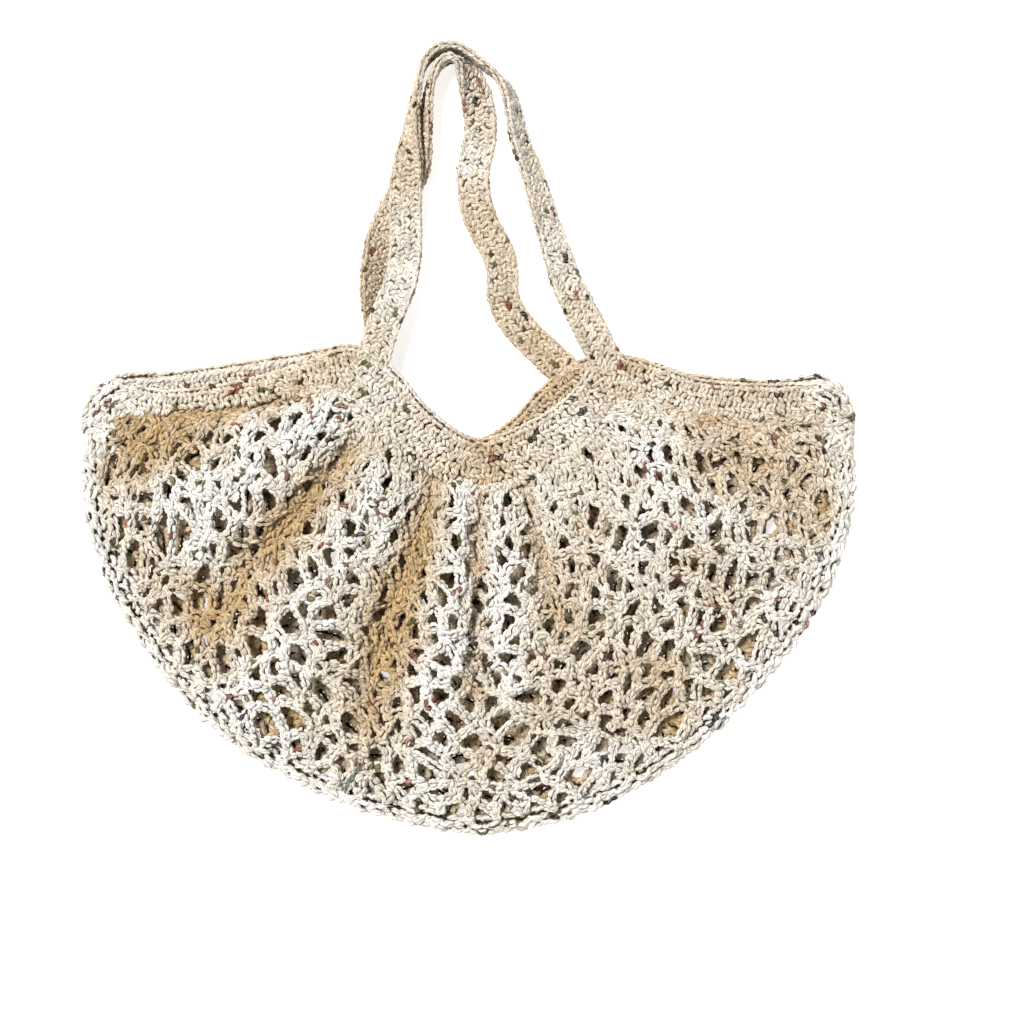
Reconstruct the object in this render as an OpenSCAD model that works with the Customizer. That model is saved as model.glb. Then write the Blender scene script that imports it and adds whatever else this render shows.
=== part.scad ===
// Crocheted cotton mesh bag, lying flat on its back with both straps laid out above the mouth.
// X runs across the bag, +Y points from the base fold to the straps, +Z points up off the table.
// The rear layer lies on z = 0 and the front layer arches over it.
// Crochet is drawn as plain closed shells here: the stitches belong to the visual model.

/* [Bag] */
// Width of the mesh body across its round sides
bag_w = 503; // [440:1:560]
// Length from the base fold to the top of the straps
bag_l = 514; // [450:1:570]
// Thickness of the crocheted fabric, one layer
fabric_t = 5; // [4:0.5:6]
// Clearance between the front layer and the rear layer where they meet
layer_gap = 0.3; // [0.2:0.1:0.6]
// Height that the front layer arches over the rear one
crown_h = 20; // [16:1:26]

/* [Base fold] */
// Width of the folded mesh edge round the sides and the base
fold_w = 9; // [7:0.5:10]
// Clearance between the fold and the front layer, which lifts past it
fold_gap = 1.5; // [1.2:0.1:2.5]
// Width of the rim where it turns round a side corner
turn_w = 7; // [5:0.5:8]

/* [Mouth] */
// Width of the chain edging along the mouth
edging_d = 5; // [4:0.5:6]

/* [Straps] */
// Width of a strap
strap_w = 21.5; // [18:0.5:24]
// Thickness of a strap
strap_t = 4.5; // [3.5:0.5:5]
// Height of the top face of the front strap at its sewn ends
front_root_top = 23.5; // [22:0.5:26]

/* [Yarn tail] */
// Thickness of the loose yarn end
tail_d = 2.4; // [1.5:0.1:3]

/* [Hidden] */

cotton = [0.93, 0.89, 0.80];
cotton_shade = [0.84, 0.76, 0.62];
cotton_rim = [0.88, 0.85, 0.78];
cotton_strap = [0.95, 0.92, 0.86];
cotton_tail = [0.55, 0.56, 0.45];

// The outlines below are drawn for a bag of this width and length, then stretched to the one asked for.
drawn_w = 503;
drawn_l = 514;
kx = bag_w / drawn_w;
ky = bag_l / drawn_l;

// Every outline has these stations, from the left corner of the mouth to the right one.
// Column steps between two stations, and rows of the front mesh from the band to the fold.
steps = 5;
mesh_rows = 10;
band_rows = 3;
tube_sides = 8;

// Outer edge of the front mouth, with its deep neck between the straps.
front_mouth_pts = [
    [-222, 35], [-188, 32], [-140, 39.5], [-104, 50.5], [-76, 58], [-50, 47], [-24, 18], [5, 0],
    [38, 10], [64, 27], [84, 50], [112, 51], [150, 39], [195, 36], [226, 38]
];
// Outer edge of the rear mouth, a little above the front one, and with its right strap end nearer the neck.
rear_mouth_pts = [
    [-224, 41], [-188, 45], [-142, 52], [-104, 58], [-76, 62], [-50, 47], [-24, 18], [5, 1],
    [28, 13], [45, 32], [70, 51], [102, 55], [146, 43], [192, 39], [226, 41]
];
// Lower edge of the solid band, where the open mesh starts.
band_foot_pts = [
    [-236, 15], [-190, 19.5], [-144, 24], [-110, 29], [-86, 27], [-68, 14], [-44, -9], [5, -33],
    [46, -22], [80, -1], [98, 20], [117, 27], [151, 18], [195, 15], [236, 13]
];
// Middle of the folded edge, from the left side round the base to the right side.
fold_pts = [
    [-246, 0], [-247, -38], [-234, -88], [-209, -132], [-176, -173], [-135, -206], [-72, -236], [5, -252.5],
    [76, -239], [132, -208], [175, -170], [208, -132], [234, -88], [247, -38], [246, 0]
];
// Middle of each turned corner, from the end of the fold up to the mouth.
left_turn_pts = [[-246, 0.6], [-247, 14], [-241, 29], [-226.6, 37]];
right_turn_pts = [[246, 0.6], [247, 14], [242.5, 29], [229, 38]];
// Stations where the left rim ends and the right rim starts.
rim_left_end = 3;
rim_right_start = 11;

// Routes of the straps: x, y, z of the middle, then the roll in degrees. Positive roll lifts the edge
// that is on the right when going along the strap from its left end.
front_hinge_y = 66;
front_route = [
    [-57, 66.3, 21.2, 0], [-57, 69.8, 21.1, 0], [-55.4, 75.5, 20, 0], [-50, 86, 17.6, 0], [-43.5, 104, 14.2, 0],
    [-41, 124, 11.8, 0], [-41, 146, 10.6, 3], [-40.6, 168, 12.2, 11], [-38.8, 181, 14.6, 30],
    [-38, 192, 15.6, 52], [-36.8, 204, 14.4, 66], [-35.4, 218, 13, 76], [-32.6, 233, 11.8, 82],
    [-28, 246, 11, 87], [-20, 252.6, 11, 90], [-12, 254.7, 11, 90], [-3, 252.4, 11, 90],
    [9, 243.8, 11, 88], [20, 234.6, 11, 80], [26.6, 223.5, 11, 70], [29.8, 210, 11, 65],
    [33.4, 194, 10.8, 60], [40, 177, 10.4, 54], [47.5, 152, 10, 46], [53, 135, 10.4, 40],
    [62, 106, 13.6, 26], [70, 88, 17, 12], [77.6, 76, 20.2, 3], [80.5, 69.8, 21.1, 0], [80.5, 66.3, 21.2, 0]
];
rear_hinge_y = 74;
rear_route = [
    [-58, 74.3, 2.4, 0], [-58, 77.6, 2.4, 0], [-58.7, 82.5, 3.6, -10], [-60.5, 91, 7.4, -30], [-62, 104, 9.8, -48],
    [-60, 119, 9.2, -42], [-56.5, 132, 7.2, -26], [-50.6, 145, 4.6, -10], [-44.5, 158, 2.7, 0],
    [-38, 171, 4.3, 9], [-33.6, 181, 7.6, 30], [-31, 191, 10.3, 52], [-29, 203, 11, 66],
    [-27.3, 217, 11.1, 76], [-25, 230, 11, 82], [-21.4, 240, 11, 86], [-16.5, 246, 11, 88],
    [-10.5, 247.6, 11, 86], [-4.6, 244, 10.8, 72], [0.6, 235.6, 9.4, 46], [5.2, 222, 5.4, 16],
    [7.5, 207, 2.6, 0], [6.5, 193, 2.4, 0], [3, 176, 2.4, 0], [3.4, 161, 2.4, 0],
    [7.2, 145, 2.4, 0], [14.4, 130.6, 2.6, 2], [20.2, 119, 4, 10], [22, 107, 4.6, 14],
    [22, 96, 3.8, 8], [24.2, 87, 2.6, 0], [28.4, 81, 2.4, 0], [30, 77.6, 2.4, 0], [30, 74.3, 2.4, 0]
];
route_steps = 2;

// Stations on the mouth between which each strap end is sewn on, and the middle of that end at its hinge line.
front_left_sewn = [4, 5.2];
front_right_sewn = [9.6, 10.8];
rear_left_sewn = [4, 5.2];
rear_right_sewn = [8.9, 10.3];
front_left_x = -57;
front_right_x = 80.5;
rear_left_x = -58;
rear_right_x = 30;
seam_gap = 0.4;

// Loose yarn end lying on the front mesh near the base fold.
tail_route = [[-70, -209, 26.6], [-72, -214, 25.4], [-76, -220, 23.4], [-79, -226, 20.6], [-80, -230, 17.8]];

// Heights.
rear_top = fabric_t;
edge_top = rear_top + layer_gap + fabric_t;
// Share of the arch that runs from the fold to the band, and how fast it rises from the fold.
arch_deg = 130;
arch_rise = 0.7;

function fit(p) = [p.x * kx, p.y * ky];
function fit4(p) = [p[0] * kx, p[1] * ky, p[2], p[3]];
function fit3(p) = [p[0] * kx, p[1] * ky, p[2]];
function unit(v) = v / norm(v);

// Catmull-Rom curve through a list of points, or its value at one station.
function ahead(p, i) =
    i < 0 ? 2 * p[0] - p[1] :
    i > len(p) - 1 ? 2 * p[len(p) - 1] - p[len(p) - 2] : p[i];
function blend4(a, b, c, d, u) =
    0.5 * (2 * b + (c - a) * u + (2 * a - 5 * b + 4 * c - d) * u * u + (3 * b - a - 3 * c + d) * u * u * u);
function at_station(p, s) =
    let (i = min(floor(s), len(p) - 2))
    blend4(ahead(p, i - 1), p[i], p[i + 1], ahead(p, i + 2), s - i);
function curve(p, n, from = 0, to = -1) =
    let (last = to < 0 ? len(p) - 1 : to, count = round((last - from) * n))
    [for (k = [0:count]) at_station(p, from + (last - from) * k / count)];

// Moves a flat curve sideways, positive to the left of its direction.
function beside(c, d) = [
    for (i = [0:len(c) - 1])
        let (t = unit(c[min(i + 1, len(c) - 1)] - c[max(i - 1, 0)]))
        c[i] + d * [-t.y, t.x]
];
function reversed(c) = [for (i = [len(c) - 1:-1:0]) c[i]];

front_mouth = [for (p = front_mouth_pts) fit(p)];
rear_mouth = [for (p = rear_mouth_pts) fit(p)];
band_foot = [for (p = band_foot_pts) fit(p)];
fold_mid = [for (p = fold_pts) fit(p)];
stations = len(fold_pts) - 1;

// Height of the front layer's top face: s is the station, w runs from 0 at the fold to 1 at the band.
function lift(s) = sin(180 * s / stations);
function front_top(s, w) = edge_top + crown_h * lift(s) * sin(arch_deg * pow(w, arch_rise));

// Closed shell of the fabric's thickness under a grid of top points, grid[column][row].
module shell(grid, t) {
    cols = len(grid);
    rows = len(grid[0]);
    top = [for (c = grid) for (p = c) p];
    base = [for (p = top) p - [0, 0, t]];
    n = cols * rows;
    faces = [
        for (i = [0:cols - 2]) for (j = [0:rows - 2])
            let (a = i * rows + j, b = a + rows, c = b + 1, d = a + 1)
            each [[a, b, c], [a, c, d], [n + a, n + c, n + b], [n + a, n + d, n + c]],
        for (i = [0:cols - 2])
            let (a = i * rows, b = a + rows, e = a + rows - 1, f = b + rows - 1)
            each [[a, n + a, n + b], [a, n + b, b], [e, f, n + f], [e, n + f, n + e]],
        for (j = [0:rows - 2])
            let (a = j, b = j + 1, e = (cols - 1) * rows + j, f = e + 1)
            each [[a, b, n + b], [a, n + b, n + a], [e, n + e, n + f], [e, n + f, f]]
    ];
    polyhedron(concat(top, base), faces, convexity = 6);
}

// Closed sweep of flat rings, each a list of the same number of points.
module sweep(rings) {
    n = len(rings[0]);
    last = len(rings) - 1;
    sides = [
        for (i = [0:last - 1]) for (k = [0:n - 1])
            let (a = i * n + k, b = i * n + (k + 1) % n, c = b + n, d = a + n)
            each [[a, b, c], [a, c, d]]
    ];
    caps = [[for (k = [n - 1:-1:0]) k], [for (k = [0:n - 1]) last * n + k]];
    polyhedron([for (r = rings) each r], concat(sides, caps), convexity = 6);
}

// Rounded rectangle of w by h about the origin, as 8 points.
function soft_section(w, h) =
    let (a = w / 2, b = h / 2, c = min(a, b) * 0.55)
    [[a, -b + c], [a, b - c], [a - c, b], [-a + c, b], [-a, b - c], [-a, -b + c], [-a + c, -b], [a - c, -b]];

// Places a section on a route point: across is the strap's own width direction, up its face.
function placed(section, mid, across, up) = [for (q = section) mid + q.x * across + q.y * up];

// Rings along a route of points with a height, kept upright.
function upright_rings(route, w, h) = [
    for (i = [0:len(route) - 1])
        let (
            d = route[min(i + 1, len(route) - 1)] - route[max(i - 1, 0)],
            t = unit([d.x, d.y, 0])
        )
        placed(soft_section(w, h), route[i], [t.y, -t.x, 0], [0, 0, 1])
];

// Rings along a strap route, turned by its roll. The end rings are square to the hinge line.
function rolled_rings(route, w, h) = [
    for (i = [0:len(route) - 1])
        let (
            last = len(route) - 1,
            d = route[min(i + 1, last)] - route[max(i - 1, 0)],
            t = i == 0 ? [0, 1, 0] : i == last ? [0, -1, 0] : unit([d[0], d[1], d[2]]),
            flat = unit(cross(t, [0, 0, 1])),
            face = cross(flat, t),
            r = route[i][3],
            across = cos(r) * flat + sin(r) * face,
            up = cos(r) * face - sin(r) * flat
        )
        placed(soft_section(w, h), [route[i][0], route[i][1], route[i][2]], across, up)
];

// Top grid of the front layer between a band-side curve and an edge-side curve.
function front_grid(inner, outer, rows, from, to, w_of) = [
    for (i = [0:len(inner) - 1])
        let (s = from + (to - from) * i / (len(inner) - 1))
        [for (j = [0:rows])
            let (v = j / rows, p = inner[i] * (1 - v) + outer[i] * v, w = 1 - v * w_of)
            [p.x, p.y, front_top(s, w)]]
];

// A strip of band between two stations: the mouth edge, less the chain edging, down to the band's foot.
module front_strip(from, to) {
    edge = beside(curve(front_mouth, steps), -edging_d - 0.2);
    foot = curve(band_foot, steps);
    a = from * steps;
    b = to * steps;
    shell(front_grid([for (i = [a:b]) foot[i]], [for (i = [a:b]) edge[i]], band_rows, from, to, 0), fabric_t);
}

module rear_strip(from, to) {
    edge = beside(curve(rear_mouth, steps), -edging_d - 0.2);
    foot = curve(band_foot, steps);
    a = from * steps;
    b = to * steps;
    linear_extrude(rear_top)
        polygon(concat([for (i = [a:b]) edge[i]], [for (i = [b:-1:a]) foot[i]]));
}

// Sewn strap end: fills between the mouth's edging and the hinge line.
module strap_end(mouth, sewn, mid_x, hinge_y, top) {
    half = strap_w / 2;
    seam = beside(curve(mouth, steps, sewn[0], sewn[1]), seam_gap);
    translate([0, 0, top - strap_t])
        linear_extrude(strap_t)
            polygon(concat(seam, [
                [mid_x * kx + half, hinge_y * ky - seam_gap / 2],
                [mid_x * kx - half, hinge_y * ky - seam_gap / 2]
            ]));
}

module corner_turn(pts) {
    route = curve([for (p = pts) [p.x * kx, p.y * ky, edge_top / 2]], steps);
    sweep(upright_rings(route, turn_w, edge_top));
}

module rear_mesh_panel() color(cotton_shade) {
    foot = curve(band_foot, steps);
    side = beside(curve(fold_mid, steps), fold_w / 2 + 0.3);
    linear_extrude(rear_top) polygon(concat(foot, reversed(side)));
}

module rear_neck_band() color(cotton) rear_strip(rim_left_end, rim_right_start);

module rear_rim_left() color(cotton_rim) rear_strip(0, rim_left_end);

module rear_rim_right() color(cotton_rim) rear_strip(rim_right_start, stations);

module rear_mouth_edging() color(cotton_strap) {
    mid = beside(curve(rear_mouth, steps), -edging_d / 2);
    sweep(upright_rings([for (p = mid) [p.x, p.y, edging_d / 2]], edging_d, edging_d));
}

module base_fold() color(cotton) {
    route = [for (p = curve(fold_mid, steps)) [p.x, p.y, edge_top / 2]];
    sweep(upright_rings(route, fold_w, edge_top));
}

module left_corner_turn() color(cotton_rim) corner_turn(left_turn_pts);

module right_corner_turn() color(cotton_rim) corner_turn(right_turn_pts);

module rear_strap_seam_left() color(cotton_strap)
    strap_end(rear_mouth, rear_left_sewn, rear_left_x, rear_hinge_y, strap_t);

module rear_strap_seam_right() color(cotton_strap)
    strap_end(rear_mouth, rear_right_sewn, rear_right_x, rear_hinge_y, strap_t);

module front_mesh_panel() color(cotton) {
    foot = curve(band_foot, steps);
    side = beside(curve(fold_mid, steps), fold_w / 2 + fold_gap);
    shell(front_grid(foot, side, mesh_rows, 0, stations, 1), fabric_t);
}

module front_neck_band() color(cotton_strap) front_strip(rim_left_end, rim_right_start);

module front_rim_left() color(cotton_rim) front_strip(0, rim_left_end);

module front_rim_right() color(cotton_rim) front_strip(rim_right_start, stations);

module front_mouth_edging() color(cotton_strap) {
    mid = beside(curve(front_mouth, steps), -edging_d / 2);
    last = len(mid) - 1;
    route = [
        for (i = [0:last])
            [mid[i].x, mid[i].y, front_top(stations * i / last, 1) - edging_d / 2]
    ];
    sweep(upright_rings(route, edging_d, edging_d));
}

module front_strap_seam_left() color(cotton_strap)
    strap_end(front_mouth, front_left_sewn, front_left_x, front_hinge_y, front_root_top);

module front_strap_seam_right() color(cotton_strap)
    strap_end(front_mouth, front_right_sewn, front_right_x, front_hinge_y, front_root_top);

module yarn_tail() color(cotton_tail) {
    route = curve([for (p = tail_route) fit3(p)], 2);
    sweep(upright_rings(route, tail_d, tail_d));
}

module front_strap() color(cotton_strap)
    sweep(rolled_rings(curve([for (p = front_route) fit4(p)], route_steps), strap_w, strap_t));

module rear_strap() color(cotton_strap)
    sweep(rolled_rings(curve([for (p = rear_route) fit4(p)], route_steps), strap_w, strap_t));

rear_mesh_panel();
rear_neck_band();
rear_rim_left();
rear_rim_right();
rear_mouth_edging();
base_fold();
left_corner_turn();
right_corner_turn();
rear_strap_seam_left();
rear_strap_seam_right();
front_mesh_panel();
front_neck_band();
front_rim_left();
front_rim_right();
front_mouth_edging();
front_strap_seam_left();
front_strap_seam_right();
yarn_tail();
front_strap();
rear_strap();
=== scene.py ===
import bpy
import numpy as np
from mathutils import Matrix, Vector


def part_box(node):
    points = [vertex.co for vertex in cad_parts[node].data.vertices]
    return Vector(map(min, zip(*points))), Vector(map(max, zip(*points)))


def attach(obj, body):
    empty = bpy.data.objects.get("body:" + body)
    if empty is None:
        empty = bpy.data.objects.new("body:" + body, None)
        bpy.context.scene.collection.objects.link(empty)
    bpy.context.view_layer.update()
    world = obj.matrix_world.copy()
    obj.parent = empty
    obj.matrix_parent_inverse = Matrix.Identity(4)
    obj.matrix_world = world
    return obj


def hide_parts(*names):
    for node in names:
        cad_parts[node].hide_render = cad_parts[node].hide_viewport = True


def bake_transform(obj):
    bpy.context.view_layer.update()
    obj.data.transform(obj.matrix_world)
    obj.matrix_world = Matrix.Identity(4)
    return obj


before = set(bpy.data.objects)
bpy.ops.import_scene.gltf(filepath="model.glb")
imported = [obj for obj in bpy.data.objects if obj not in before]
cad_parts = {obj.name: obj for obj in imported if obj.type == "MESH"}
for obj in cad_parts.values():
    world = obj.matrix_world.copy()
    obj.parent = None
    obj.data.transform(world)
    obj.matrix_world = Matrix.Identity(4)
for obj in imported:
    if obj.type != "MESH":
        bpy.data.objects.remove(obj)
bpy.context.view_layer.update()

# A crocheted cotton mesh bag lying on its back. Every stitch is a pair of short curved leaves of yarn.
# Lengths are in metres; lists of outline points repeat the CAD model's in millimetres.
MM = 0.001
SEED = 861
rng = np.random.default_rng(SEED)

# ---------------------------------------------------------------- driving sizes, from the frame
fold_lo, fold_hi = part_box("base_fold")
rear_lo, rear_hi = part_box("rear_mesh_panel")
FABRIC = rear_hi[2] - rear_lo[2]          # one layer of crochet
EDGE_TOP = fold_hi[2]                     # both layers, at the fold
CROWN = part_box("front_mesh_panel")[1][2] - EDGE_TOP   # how far the front layer arches
DRAWN_WIDTH = 504.4                       # of the outlines below, over the fold
KX = (fold_hi[0] - fold_lo[0]) / (DRAWN_WIDTH * MM)

YARN = 1.5 * MM                           # radius of the yarn
CHAIN_PITCH = 4.5 * MM                    # one chain stitch
CHAIN_HALF = 2.7 * MM                     # sideways reach of a chain's leaves
NET_COLUMNS = 42                          # arches of a row of the net
ROW_PITCH = 12.4 * MM
NET_DEPTH = 260 * MM                      # more than the longest way from the edge to the band
POST = 3.6 * MM                           # single crochet that ties a knot of the net
SC_PITCH = 3.5 * MM                       # one leaf of single crochet along a row
SC_ROW = 3.4 * MM                         # height of a row of them
SC_LEAF = 4.9 * MM
SC_YARN = 1.6 * MM
SECTORS = 12                              # the front mesh is cut into these, and a bend's start and end is worked out for each
REAR_SECTORS = 4
NECK_FROM, NECK_TO = 3, 11                # stations of the mouth where the deep neck starts and ends
FAN_TO = 11.2                             # the mesh fans out from the band between NECK_FROM and here
CUTS = 401                                # points of the curves that bound the fan
FLECKS_FROM = .94                         # random numbers above this are coloured flecks

# ---------------------------------------------------------------- outlines, as in the CAD model
FRONT_MOUTH = [(-222, 35), (-188, 32), (-140, 39.5), (-104, 50.5), (-76, 58), (-50, 47), (-24, 18),
               (5, 0), (38, 10), (64, 27), (84, 50), (112, 51), (150, 39), (195, 36), (226, 38)]
REAR_MOUTH = [(-224, 41), (-188, 45), (-142, 52), (-104, 58), (-76, 62), (-50, 47), (-24, 18), (5, 1),
              (28, 13), (45, 32), (70, 51), (102, 55), (146, 43), (192, 39), (226, 41)]
BAND_FOOT = [(-236, 15), (-190, 19.5), (-144, 24), (-110, 29), (-86, 27), (-68, 14), (-44, -9),
             (5, -33), (46, -22), (80, -1), (98, 20), (117, 27), (151, 18), (195, 15), (236, 13)]
FOLD = [(-246, 0), (-247, -38), (-234, -88), (-209, -132), (-176, -173), (-135, -206), (-72, -236),
        (5, -252.5), (76, -239), (132, -208), (175, -170), (208, -132), (234, -88), (247, -38),
        (246, 0)]
LEFT_TURN = [(-246, 0.6), (-247, 14), (-241, 29), (-226.6, 37)]
RIGHT_TURN = [(246, 0.6), (247, 14), (242.5, 29), (229, 38)]
FRONT_STRAP = [(-64, 45, 20.6, 0), (-60, 56, 21, 0), (-57, 66.3, 21.2, 0), (-54.5, 74, 20.4, 0),
               (-50, 86, 17.6, 0), (-43.5, 104, 14.2, 0), (-41, 124, 11.8, 0), (-41, 146, 10.6, 3),
               (-40.6, 168, 12.2, 11), (-38.8, 181, 14.6, 30), (-38, 192, 15.6, 52),
               (-36.8, 204, 14.4, 66), (-35.4, 218, 13, 76), (-32.6, 233, 11.8, 82), (-28, 246, 11, 87),
               (-20, 252.6, 11, 90), (-12, 254.7, 11, 90), (-3, 252.4, 11, 90), (9, 243.8, 11, 88),
               (20, 234.6, 11, 80), (26.6, 223.5, 11, 70), (29.8, 210, 11, 65), (33.4, 194, 10.8, 60),
               (40, 177, 10.4, 54), (47.5, 152, 10, 46), (53, 135, 10.4, 40), (62, 106, 13.6, 26),
               (70, 88, 17, 12), (76.5, 75, 20.2, 3), (80.5, 66.3, 21.2, 0), (86, 56, 21, 0),
               (93, 44, 20, 0)]
REAR_STRAP = [(-64, 50, 2.4, 0), (-60, 62, 2.4, 0), (-58, 74.3, 2.4, 0), (-58.6, 81, 3.2, -8),
              (-60.5, 91, 7.4, -30), (-62, 104, 9.8, -48), (-60, 119, 9.2, -42), (-56.5, 132, 7.2, -26),
              (-50.6, 145, 4.6, -10), (-44.5, 158, 2.7, 0), (-38, 171, 4.3, 9), (-33.6, 181, 7.6, 30),
              (-31, 191, 10.3, 52), (-29, 203, 11, 66), (-27.3, 217, 11.1, 76), (-25, 230, 11, 82),
              (-21.4, 240, 11, 86), (-16.5, 246, 11, 88), (-10.5, 247.6, 11, 86), (-4.6, 244, 10.8, 72),
              (0.6, 235.6, 9.4, 46), (5.2, 222, 5.4, 16), (7.5, 207, 2.6, 0), (6.5, 193, 2.4, 0),
              (3, 176, 2.4, 0), (3.4, 161, 2.4, 0), (7.2, 145, 2.4, 0), (14.4, 130.6, 2.6, 2),
              (20.2, 119, 4, 10), (22, 107, 4.6, 14), (22, 96, 3.8, 8), (25, 86, 2.6, 0),
              (31, 76, 2.4, 0), (41, 65, 2.4, 0), (54, 53, 2.4, 0), (66, 42, 2.4, 0)]
YARN_TAIL = [(-70, -209, 26.6), (-72, -214, 25.4), (-76, -220, 23.4), (-79, -226, 20.6), (-80, -230, 17.8)]
STATIONS = len(FOLD) - 1                  # the outlines share their stations, from the left corner to the right

# Folds of the front mesh: place across the fan from 0 at the left corner to 1 at the right, half width,
# height, and where it starts and ends on the way from the edge, 0, to the band, 1.
FOLDS = [(.012, .034, -1, .12, 1), (.052, .020, -.7, .04, .45), (.118, .044, 1, .25, 1),
         (.205, .028, -1, .15, .92), (.290, .042, .7, -.1, .95), (.392, .032, -1, .25, 1.1),
         (.464, .023, 1, .08, 1.1), (.503, .014, -.75, .4, 1), (.545, .022, .6, .3, 1),
         (.612, .020, -.75, .6, 1.1), (.700, .030, -.35, .12, .5), (.755, .050, .3, .1, .9),
         (.852, .030, .6, .3, .95), (.918, .036, -.4, .08, .6), (.985, .028, -.5, .4, 1)]
FOLD_HEIGHT = 8 * MM


# ---------------------------------------------------------------- curves
def points_of(rows):
    """A list of outline points in metres, stretched to the frame's width."""
    p = np.array(rows, float)
    p[:, 0] *= KX
    p[:, :min(3, p.shape[1])] *= MM
    return p


def along(p, s):
    """Catmull-Rom value of the point list p at the stations s."""
    s = np.clip(np.asarray(s, float), 0, len(p) - 1)
    q = np.vstack([2 * p[0] - p[1], p, 2 * p[-1] - p[-2]])
    i = np.minimum(s.astype(int), len(p) - 2)
    u = (s - i)[..., None]
    a, b, c, d = q[i], q[i + 1], q[i + 2], q[i + 3]
    square, cube = 2 * a - 5 * b + 4 * c - d, 3 * b - a - 3 * c + d
    return .5 * (2 * b + (c - a) * u + square * u ** 2 + cube * u ** 3)


def even_stations(p, lo, hi, count):
    """Stations that cut the curve from lo to hi into equal lengths."""
    s = np.linspace(lo, hi, 800)
    c = along(p, s)
    run = np.concatenate([[0], np.cumsum(np.linalg.norm(np.diff(c, axis=0), axis=1))])
    return np.interp(np.linspace(0, run[-1], count), run, s)


def unit(v):
    """Vectors of length 1."""
    return v / np.maximum(np.linalg.norm(v, axis=-1, keepdims=True), 1e-12)


def beside(c, d):
    """A flat curve moved sideways by d, to the left of its direction."""
    t = unit(np.gradient(c, axis=0))
    return c + d * np.stack([-t[:, 1], t[:, 0]], 1)


def smooth(x):
    """Smooth step from 0 at 0 to 1 at 1."""
    x = np.clip(x, 0, 1)
    return x * x * (3 - 2 * x)


front_mouth = points_of(FRONT_MOUTH)
rear_mouth = points_of(REAR_MOUTH)
band_foot = points_of(BAND_FOOT)
fold_line = points_of(FOLD)


def lift(s):
    """Share of the arch at the station s: none at the corners, all in the middle."""
    return np.sin(np.pi * np.asarray(s) / STATIONS)


def front_top(s, w):
    """Top of the front layer: s is the station, w runs from 0 at the fold to 1 at the band's foot."""
    return EDGE_TOP + CROWN * lift(s) * np.sin(np.radians(130 * np.clip(w, 0, 1) ** .7))


# ---------------------------------------------------------------- yarn
RINGS = np.array([.10, .37, .63, .90])
SIDES = 6
THICK = np.array([.70, 1, 1, .70])
RING_LIT = np.array([.8, 1, 1, .8])   # painted shade: how lit each ring is painted, the ends darker where they dive under the next stitch
# painted shade at the leaf tips, where they dive under the next stitch
TIP_LIT = .15


def leaf_template():
    """Faces of one leaf of yarn, with the yarn coordinates of their corners: around, and along."""
    tip0, tip1 = len(RINGS) * SIDES, len(RINGS) * SIDES + 1
    faces, uvs = [], []
    for k in range(SIDES):
        n = (k + 1) % SIDES
        u0, u1 = k / SIDES, (k + 1) / SIDES
        faces.append([tip0, n, k])
        uvs.append([(u0, 0), (u1, RINGS[0]), (u0, RINGS[0])])
        for r in range(len(RINGS) - 1):
            a = r * SIDES
            faces.append([a + k, a + n, a + SIDES + n, a + SIDES + k])
            uvs.append([(u0, RINGS[r]), (u1, RINGS[r]), (u1, RINGS[r + 1]), (u0, RINGS[r + 1])])
        a = (len(RINGS) - 1) * SIDES
        faces.append([tip1, a + k, a + n])
        uvs.append([(u0, 1), (u0, RINGS[-1]), (u1, RINGS[-1])])
    return faces, uvs


LEAF_FACES, LEAF_UVS = leaf_template()


class Yarn:
    """Collects leaves of yarn, each from a start through a bulge to an end, and dark sheets of painted shade
    between them.
    """

    def __init__(self):
        self.parts, self.shade_sheets = [], []

    def add(self, start, bulge, end, radius, shade):
        n = len(start)
        if n:
            radius = np.broadcast_to(np.asarray(radius, float), (n,))
            shade = np.broadcast_to(np.asarray(shade, float), (n,))
            self.parts.append(np.column_stack([start, bulge, end, radius, shade]))

    def core(self, verts, quads):
        """A dark sheet of painted shade, seen between the leaves."""
        self.shade_sheets.append((verts, quads))

    def leaves(self):
        return np.vstack(self.parts) if self.parts else np.zeros((0, 11))


def fleck_ids(n):
    """Random numbers in which a few leaves start a coloured fleck, one or two leaves long."""
    ids = rng.random(n) * FLECKS_FROM
    for s in np.flatnonzero(rng.random(n) < .028):
        ids[s:s + rng.integers(1, 3)] = FLECKS_FROM + (1 - FLECKS_FROM) * rng.random()
    return ids


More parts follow.
